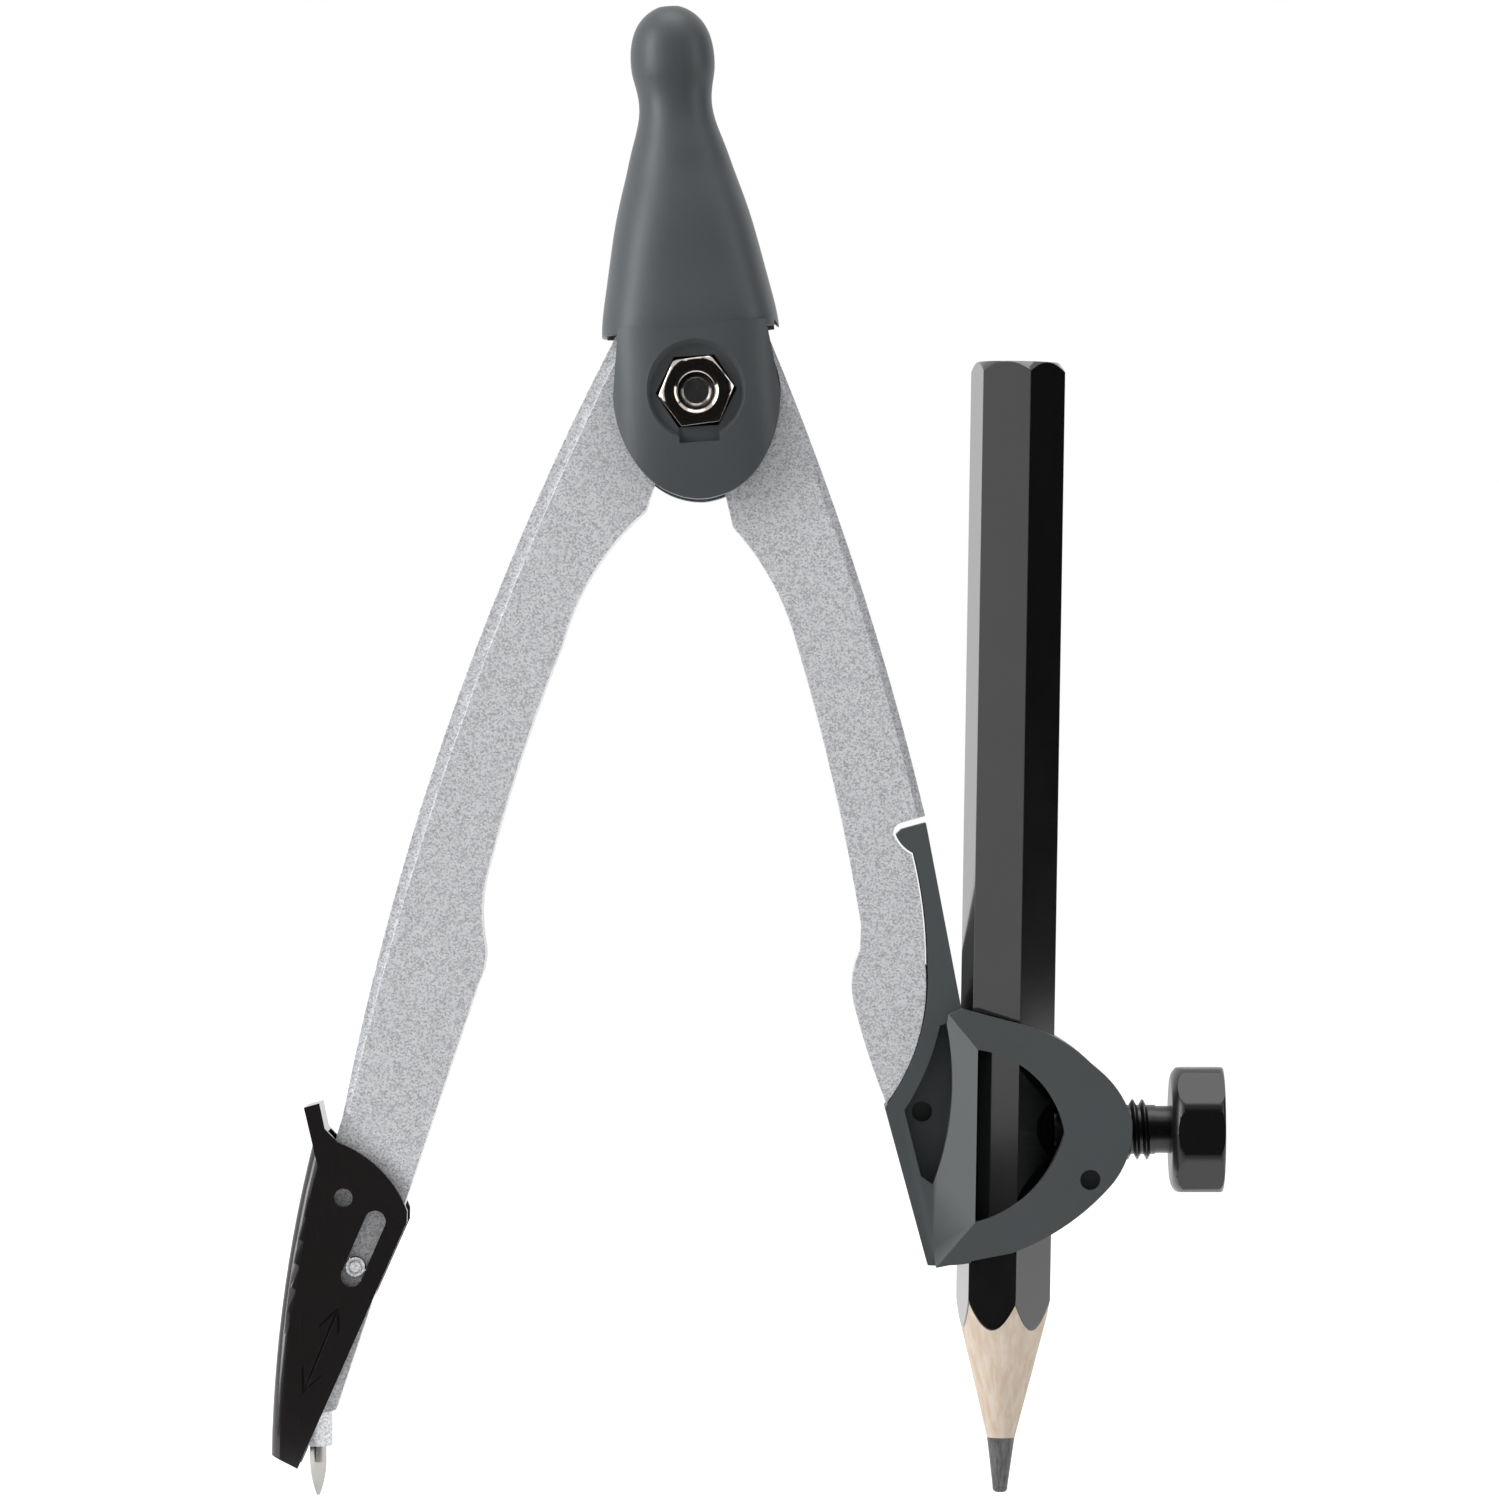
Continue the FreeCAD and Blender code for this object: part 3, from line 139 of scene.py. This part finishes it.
def node_group(name, inputs, outputs):
    """An empty shader group with named sockets; returns it with its input and output nodes."""
    group = bpy.data.node_groups.new(name, "ShaderNodeTree")
    for label, kind, value in inputs:
        socket = group.interface.new_socket(label, in_out="INPUT", socket_type="NodeSocket" + kind)
        socket.default_value = value
    for label, kind in outputs:
        group.interface.new_socket(label, in_out="OUTPUT", socket_type="NodeSocket" + kind)
    return group, group.nodes.new("NodeGroupInput"), group.nodes.new("NodeGroupOutput")


def join(tree, source, out, target, into):
    """Links one node's output to another node's input."""
    tree.links.new(source.outputs[out], target.inputs[into])


def fill(node, values):
    """Sets a node's inputs, each by its label."""
    for label, value in values.items():
        node.inputs[label].default_value = value


def add(tree, kind, **settings):
    """A node, with its attributes set, and its sockets where the name is one."""
    node = tree.nodes.new("ShaderNode" + kind)
    for name, value in settings.items():
        if hasattr(node, name):
            setattr(node, name, value)
        else:
            node.inputs[name.replace("_", " ").title()].default_value = value
    return node


def maths(tree, operation, *values):
    """A Math node whose operands are numbers or (node, socket) pairs."""
    node = tree.nodes.new("ShaderNodeMath")
    node.operation = operation
    for index, value in enumerate(values):
        if isinstance(value, tuple):
            tree.links.new(value[0].outputs[value[1]], node.inputs[index])
        else:
            node.inputs[index].default_value = value
    return node


def spread_evenly(tree, source, spread):
    """A 0 to 1 value, given as a (node, socket) pair, spread evenly about 0."""
    return maths(tree, "MULTIPLY_ADD", source, spread, -spread / 2)


def swing_by(tree, source, amount):
    """A 0 to 1 value's distance from its middle, times an amount; both are (node, socket) pairs."""
    swing = maths(tree, "SUBTRACT", source, 0.5)
    return maths(tree, "MULTIPLY", (swing, "Value"), amount)


def brightened(tree, color, amount):
    """A colour made brighter or darker by an amount about 0; both are (node, socket) pairs."""
    gain = maths(tree, "ADD", amount, 1.0)
    tint = add(tree, "VectorMath", operation="SCALE")
    join(tree, color[0], color[1], tint, 0)
    join(tree, gain, "Value", tint, "Scale")
    return tint


def moulded_grain():
    """The fine spark-eroded texture of moulded plastic, with a slow mottle of its colour."""
    group, start, end = node_group(
        "Moulded Grain",
        [("Color", "Color", (0.1, 0.1, 0.1, 1)), ("Scale", "Float", 9000.0), ("Mottle", "Float", 0.06),
         ("Roughness", "Float", 0.5)],
        [("Color", "Color"), ("Roughness", "Float"), ("Height", "Float")],
    )
    place = add(group, "TexCoord")
    fine = add(group, "TexNoise", detail=3.0)
    join(group, place, "Object", fine, "Vector")
    join(group, start, "Scale", fine, "Scale")
    slow = add(group, "TexNoise", scale=MOULD_MOTTLE_SCALE, detail=4.0)
    join(group, place, "Object", slow, "Vector")
    mottle = swing_by(group, (slow, "Fac"), (start, "Mottle"))
    tint = brightened(group, (start, "Color"), (mottle, "Value"))
    rough = spread_evenly(group, (fine, "Fac"), MOULD_ROUGHNESS_SPREAD)
    total = maths(group, "ADD", (rough, "Value"), (start, "Roughness"))
    join(group, tint, 0, end, "Color")
    join(group, total, "Value", end, "Roughness")
    join(group, fine, "Fac", end, "Height")
    return group


def flake_paint():
    """Silver paint: small flakes that lie at slightly different angles and brightnesses."""
    group, start, end = node_group(
        "Flake Paint",
        [("Base", "Color", (0.5, 0.5, 0.5, 1)), ("Scale", "Float", 3800.0), ("Sparkle", "Float", 0.5),
         ("Tilt", "Float", 0.25)],
        [("Color", "Color"), ("Roughness", "Float"), ("Height", "Float")],
    )
    place = add(group, "TexCoord")
    flakes = add(group, "TexVoronoi", voronoi_dimensions="3D")
    join(group, place, "Object", flakes, "Vector")
    join(group, start, "Scale", flakes, "Scale")
    grey = add(group, "SeparateColor")
    join(group, flakes, "Color", grey, 0)
    cloud = add(group, "TexNoise", scale=FLAKE_CLOUD_SCALE, detail=2.0, roughness=0.6)
    join(group, place, "Object", cloud, "Vector")
    single = spread_evenly(group, (grey, 0), FLAKE_BRIGHTNESS_SPREAD)
    blotch = spread_evenly(group, (cloud, "Fac"), FLAKE_CLOUD_SPREAD)
    both = maths(group, "ADD", (single, "Value"), (blotch, "Value"))
    amount = maths(group, "MULTIPLY", (both, "Value"), (start, "Sparkle"))
    tint = brightened(group, (start, "Base"), (amount, "Value"))
    rough = maths(group, "MULTIPLY_ADD", (grey, 1), FLAKE_ROUGHNESS_SPREAD, FLAKE_LEAST_ROUGHNESS)
    tilt = maths(group, "MULTIPLY", (grey, 2), (start, "Tilt"))
    join(group, tint, 0, end, "Color")
    join(group, rough, "Value", end, "Roughness")
    join(group, tilt, "Value", end, "Height")
    return group


def handling():
    """Faint smears and hair scratches from fingers and a pencil case, as a roughness."""
    group, start, end = node_group(
        "Handling",
        [("Roughness", "Float", 0.3), ("Smear", "Float", 0.1), ("Scratches", "Float", 0.2)],
        [("Roughness", "Float"), ("Height", "Float")],
    )
    place = add(group, "TexCoord")
    smear = add(group, "TexNoise", scale=SMEAR_SCALE, detail=5.0, roughness=0.6, distortion=0.8)
    join(group, place, "Object", smear, "Vector")
    stretch = add(group, "Mapping")
    fill(stretch, {"Rotation": SCRATCH_TURN, "Scale": SCRATCH_STRETCH})
    join(group, place, "Object", stretch, "Vector")
    hairs = add(group, "TexNoise", scale=1.0, detail=2.0)
    join(group, stretch, 0, hairs, "Vector")
    scratch = add(group, "MapRange")
    fill(scratch, {"From Min": SCRATCH_STARTS, "From Max": SCRATCH_FULL})
    join(group, hairs, "Fac", scratch, "Value")
    amount = swing_by(group, (smear, "Fac"), (start, "Smear"))
    lines = maths(group, "MULTIPLY", (scratch, "Result"), (start, "Scratches"))
    both = maths(group, "ADD", (amount, "Value"), (lines, "Value"))
    total = maths(group, "ADD", (both, "Value"), (start, "Roughness"))
    join(group, total, "Value", end, "Roughness")
    join(group, scratch, "Result", end, "Height")
    return group


MOULDED_GRAIN = moulded_grain()
FLAKE_PAINT = flake_paint()
HANDLING = handling()


# Materials

def material(name):
    """A material, its node tree and its Principled shader."""
    made = bpy.data.materials.new(name)
    made.use_nodes = True
    tree = made.node_tree
    return made, tree, tree.nodes["Principled BSDF"]


def effect(tree, group, values):
    """A shared group, placed in a material with its own values."""
    node = tree.nodes.new("ShaderNodeGroup")
    node.node_tree = group
    fill(node, values)
    return node


def bump(tree, shader, source, out, strength, distance):
    """Relief from a height, for the shader's normal."""
    relief = add(tree, "Bump")
    fill(relief, {"Strength": strength, "Distance": distance})
    join(tree, source, out, relief, "Height")
    join(tree, relief, "Normal", shader, "Normal")


def stretched(tree, scale):
    """Object coordinates drawn out along the pencil, for grain and sharpening marks."""
    place = add(tree, "TexCoord")
    stretch = add(tree, "Mapping")
    fill(stretch, {"Scale": scale})
    join(tree, place, "Object", stretch, "Vector")
    return stretch


def two_tones(tree, noise, dark, pale, low=DARK_TONE_ENDS, high=PALE_TONE_STARTS):
    """A dark and a pale colour, mixed by a noise between two of its values."""
    ramp = add(tree, "ValToRGB")
    ramp.color_ramp.elements[0].position = low
    ramp.color_ramp.elements[1].position = high
    ramp.color_ramp.elements[0].color = (*dark, 1)
    ramp.color_ramp.elements[1].color = (*pale, 1)
    join(tree, noise, "Fac", ramp, "Fac")
    return ramp


def moulded_plastic(name, color, roughness, depth=0.15, specular=0.45):
    """Moulded plastic with a spark-eroded surface."""
    made, tree, shader = material(name)
    grain = effect(tree, MOULDED_GRAIN, {
        "Color": (*color, 1), "Scale": MOULD_GRAIN_SCALE, "Mottle": MOULD_MOTTLE, "Roughness": roughness})
    join(tree, grain, "Color", shader, "Base Color")
    join(tree, grain, "Roughness", shader, "Roughness")
    fill(shader, {"Specular IOR Level": specular})
    bump(tree, shader, grain, "Height", depth, MOULD_RELIEF)
    return made


def silver_paint(name, color, sparkle):
    """Silver flake paint under a thin clear coat."""
    made, tree, shader = material(name)
    flakes = effect(tree, FLAKE_PAINT, {
        "Base": (*color, 1), "Scale": FLAKE_SCALE, "Sparkle": sparkle, "Tilt": 0.4})
    join(tree, flakes, "Color", shader, "Base Color")
    join(tree, flakes, "Roughness", shader, "Roughness")
    fill(shader, {"Metallic": 0.3, "Coat Weight": 0.15, "Coat Roughness": 0.25})
    bump(tree, shader, flakes, "Height", 0.35, FLAKE_RELIEF)
    return made


def plated_steel(name, color, roughness):
    """Plated or bare steel, slightly uneven in tone and worn by handling."""
    made, tree, shader = material(name)
    wear = effect(tree, HANDLING, {"Roughness": roughness, "Smear": SMEAR, "Scratches": STEEL_SCRATCHES})
    tone = add(tree, "TexNoise", scale=STEEL_TONE_SCALE, detail=3.0)
    dark = [channel * STEEL_DARK_SHARE for channel in color]
    ramp = two_tones(tree, tone, dark, color, low=0.0, high=1.0)
    place = add(tree, "TexCoord")
    join(tree, place, "Object", tone, "Vector")
    join(tree, ramp, "Color", shader, "Base Color")
    join(tree, wear, "Roughness", shader, "Roughness")
    fill(shader, {"Metallic": 1.0})
    bump(tree, shader, wear, "Height", 0.08, SCRATCH_RELIEF)
    return made


def gloss_plastic(name, color, roughness, coat):
    """Glossy plastic or lacquer with a clear coat, worn by handling."""
    made, tree, shader = material(name)
    wear = effect(tree, HANDLING, {"Roughness": roughness, "Smear": SMEAR, "Scratches": GLOSS_SCRATCHES})
    tint = effect(tree, MOULDED_GRAIN, {
        "Color": (*color, 1), "Scale": GLOSS_TINT_SCALE, "Mottle": GLOSS_MOTTLE, "Roughness": roughness})
    join(tree, tint, "Color", shader, "Base Color")
    join(tree, wear, "Roughness", shader, "Roughness")
    fill(shader, {"Coat Weight": coat, "Coat Roughness": 0.06})
    bump(tree, shader, wear, "Height", 0.05, SCRATCH_RELIEF)
    return made


def sharpened_wood(name, dark, pale):
    """Soft pencil wood: long grain, short pores, and the sharpener's faint rings."""
    made, tree, shader = material(name)
    grain = add(tree, "TexNoise", scale=1.0, detail=5.0, roughness=0.6, distortion=0.4)
    join(tree, stretched(tree, WOOD_GRAIN_STRETCH), 0, grain, "Vector")
    tones = two_tones(tree, grain, dark, pale)
    rings = add(tree, "TexWave", scale=1.0, detail=3.0, distortion=2.5)
    rings.bands_direction = "Z"
    join(tree, stretched(tree, WOOD_RING_STRETCH), 0, rings, "Vector")
    both = maths(tree, "MULTIPLY_ADD", (rings, "Fac"), WOOD_RING_SHARE, (grain, "Fac"))
    join(tree, tones, "Color", shader, "Base Color")
    fill(shader, {"Roughness": 0.62, "Specular IOR Level": 0.3})
    bump(tree, shader, both, "Value", 0.3, WOOD_RELIEF)
    return made


def graphite(name, dark, pale):
    """Polished graphite with the sharpener's marks along the point."""
    made, tree, shader = material(name)
    marks = add(tree, "TexNoise", scale=1.0, detail=4.0, roughness=0.7)
    join(tree, stretched(tree, GRAPHITE_STRETCH), 0, marks, "Vector")
    join(tree, two_tones(tree, marks, dark, pale), "Color", shader, "Base Color")
    rough = maths(tree, "MULTIPLY_ADD", (marks, "Fac"), GRAPHITE_ROUGHNESS_SPREAD, GRAPHITE_LEAST_ROUGHNESS)
    join(tree, rough, "Value", shader, "Roughness")
    fill(shader, {"Metallic": 0.35})
    bump(tree, shader, marks, "Fac", 0.45, GRAPHITE_RELIEF)
    return made


GREY_HEAD = moulded_plastic("Grey Head Plastic", (0.085, 0.094, 0.101), 0.42)
GREY_HOLDER = moulded_plastic("Grey Holder Plastic", (0.088, 0.098, 0.102), 0.42, specular=0.5)
BLACK_KNOB = moulded_plastic("Black Knob Plastic", (0.007, 0.007, 0.0072), 0.3, depth=0.1, specular=0.5)
SILVER_LEG = silver_paint("Silver Leg Paint", (0.86, 0.87, 0.90), 0.5)
NICKEL_NUT = plated_steel("Nickel Nut Plate", (0.60, 0.54, 0.49), 0.13)
ZINC_SCREW = plated_steel("Zinc Screw Plate", (0.58, 0.59, 0.6), 0.28)
NEEDLE_STEEL = plated_steel("Needle Steel", (0.46, 0.45, 0.42), 0.2)
SMOKED_GUARD = gloss_plastic("Smoked Guard Plastic", (0.017, 0.0145, 0.0145), 0.2, 0.4)
BLACK_LACQUER = gloss_plastic("Black Pencil Lacquer", (0.006, 0.006, 0.0065), 0.12, 1.0)
WASHER_PLASTIC = moulded_plastic("Washer Plastic", (0.7, 0.69, 0.65), 0.4)
PALE_WOOD = sharpened_wood("Pale Wood", (0.78, 0.62, 0.47), (0.92, 0.80, 0.68))
GRAPHITE = graphite("Graphite", (0.055, 0.055, 0.058), (0.16, 0.16, 0.165))

FINISHES = {
    "head_fork": GREY_HEAD,
    "pencil_holder": GREY_HOLDER,
    "clamp_knob": BLACK_KNOB,
    "clamp_screw": BLACK_KNOB,
    "needle_leg": SILVER_LEG,
    "pencil_leg": SILVER_LEG,
    "guard_pin": SILVER_LEG,
    "pivot_nut": NICKEL_NUT,
    "pivot_screw": ZINC_SCREW,
    "flat_washer": ZINC_SCREW,
    "spring_washer": ZINC_SCREW,
    "needle": NEEDLE_STEEL,
    "needle_guard": SMOKED_GUARD,
    "pencil_paint": BLACK_LACQUER,
    "pencil_wood": PALE_WOOD,
    "pencil_lead": GRAPHITE,
    "friction_washer_front": WASHER_PLASTIC,
    "friction_washer_rear": WASHER_PLASTIC,
    "friction_washer_middle": WASHER_PLASTIC,
}


# Pieces with soft edges, in place of sharp CAD ones

def select_all_of(piece):
    """Selects one piece alone and makes it the active one."""
    bpy.ops.object.select_all(action="DESELECT")
    piece.select_set(True)
    bpy.context.view_layer.objects.active = piece


def merged_copy(node, name):
    """A copy of a CAD node with its loose triangles joined and its flat faces made whole."""
    piece = NODES[node].copy()
    piece.data = NODES[node].data.copy()
    piece.name = piece.data.name = name
    bpy.context.scene.collection.objects.link(piece)
    select_all_of(piece)
    bpy.ops.object.mode_set(mode="EDIT")
    bpy.ops.mesh.select_all(action="SELECT")
    bpy.ops.mesh.remove_doubles(threshold=MERGE_DISTANCE)
    bpy.ops.mesh.dissolve_limited(angle_limit=FLAT_WITHIN)
    bpy.ops.object.mode_set(mode="OBJECT")
    return piece


def soften(piece, width):
    """Rounds the piece's sharp edges, and smooths what is rounder."""
    select_all_of(piece)
    rounding = piece.modifiers.new("Edge Rounding", "BEVEL")
    rounding.limit_method = "ANGLE"
    rounding.angle_limit = ROUNDED_ABOVE
    rounding.width = width
    rounding.segments = ROUNDING_STEPS
    rounding.use_clamp_overlap = True
    bpy.ops.object.modifier_apply(modifier=rounding.name)
    bpy.ops.object.shade_smooth_by_angle(angle=SMOOTH_BELOW)
    flatness = piece.modifiers.new("Flat Faces Stay Flat", "WEIGHTED_NORMAL")
    flatness.keep_sharp = True
    flatness.weight = LARGE_FACE_WEIGHT
    bpy.ops.object.modifier_apply(modifier=flatness.name)


def paint(node, made):
    """Gives a CAD node, or the piece in its place, its material."""
    item = PIECES.get(node, NODES[node])
    if not item.material_slots:
        item.data.materials.append(made)
    for slot in item.material_slots:
        slot.material = made


PIECES = {}
for node_name, (body, width) in SOFT_EDGES.items():
    piece = merged_copy(node_name, node_name.title() + "_Soft")
    soften(piece, width)
    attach(piece, body)
    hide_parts(node_name)
    PIECES[node_name] = piece

for node_name, finish in FINISHES.items():
    paint(node_name, finish)


# Studio

def seen_rays(tree):
    """1 for rays that show a background: from the camera, and in gloss and glass."""
    path = add(tree, "LightPath")
    some = maths(tree, "MAXIMUM", (path, "Is Camera Ray"), (path, "Is Glossy Ray"))
    return maths(tree, "MAXIMUM", (some, "Value"), (path, "Is Transmission Ray"))


def studio_world():
    """A white surround that lights the compass less than it shows."""
    world = bpy.data.worlds.new("Studio")
    bpy.context.scene.world = world
    world.use_nodes = True
    tree = world.node_tree
    sky = tree.nodes["Background"]
    fill(sky, {"Color": WHITE})
    strength = maths(tree, "MULTIPLY_ADD", (seen_rays(tree), "Value"), WORLD_SEEN_GLOW, WORLD_GLOW)
    join(tree, strength, "Value", sky, "Strength")


def studio_floor():
    """A white ground just under the needle's point."""
    bpy.ops.mesh.primitive_plane_add(size=FLOOR_SIZE, location=FLOOR_PLACE)
    ground = bpy.context.object
    ground.name = "Studio_Floor"
    made, tree, shader = material("Studio Floor")
    fill(shader, {
        "Base Color": (0.9, 0.9, 0.9, 1), "Roughness": 0.9, "Specular IOR Level": 0.0,
        "Emission Color": WHITE})
    glow = maths(tree, "MULTIPLY", (seen_rays(tree), "Value"), FLOOR_SEEN_GLOW)
    join(tree, glow, "Value", shader, "Emission Strength")
    ground.data.materials.append(made)


def front_camera():
    """A long lens whose picture is PICTURE_WIDTH wide at the compass's front."""
    lens = bpy.data.cameras.new("Front Camera")
    lens.sensor_width = SENSOR_WIDTH
    lens.lens = SENSOR_WIDTH * (CAMERA_DISTANCE - FRONT_PLANE) / PICTURE_WIDTH
    lens.clip_start = CAMERA_NEAR
    item = bpy.data.objects.new("Front_Camera", lens)
    bpy.context.scene.collection.objects.link(item)
    item.location = (CAMERA_SIDE, -CAMERA_DISTANCE, CAMERA_HEIGHT)
    item.rotation_euler = (math.pi / 2, 0, 0)
    bpy.context.scene.camera = item


def turned_to(place, target, axis):
    """The turn that points one of an object's own axes from its place to a target."""
    return (Vector(target) - Vector(place)).to_track_quat(axis, "Y").to_euler()


def dark_card(name, place, target, width, height):
    """A black card that only reflections see, so that glossy faces turn dark towards it."""
    bpy.ops.object.select_all(action="DESELECT")
    bpy.ops.mesh.primitive_plane_add(size=1.0)
    card = bpy.context.object
    card.name = name
    card.scale = (width, height, 1.0)
    card.location = place
    card.rotation_euler = turned_to(place, target, "Z")
    made, tree, shader = material(name)
    tone = add(tree, "TexNoise", scale=CARD_TONE_SCALE)
    join(tree, two_tones(tree, tone, CARD_DARK, CARD_PALE), "Color", shader, "Base Color")
    fill(shader, {"Roughness": 1.0, "Specular IOR Level": 0.0})
    card.data.materials.append(made)
    card.visible_camera = card.visible_diffuse = card.visible_shadow = False
    card.visible_transmission = False


def softbox(name, place, width, height, power):
    """A rectangular lamp that faces the middle of the compass."""
    lamp = bpy.data.lights.new(name, "AREA")
    lamp.shape = "RECTANGLE"
    lamp.size = width
    lamp.size_y = height
    lamp.energy = power
    item = bpy.data.objects.new(name, lamp)
    bpy.context.scene.collection.objects.link(item)
    item.location = place
    item.rotation_euler = turned_to(place, LAMP_TARGET, "-Z")


studio_world()
studio_floor()
front_camera()
for card_name, card in CARDS.items():
    dark_card(card_name, **card)
for lamp_name, lamp in LAMPS.items():
    softbox(lamp_name, **lamp)
bpy.context.scene.view_settings.view_transform = "Standard"
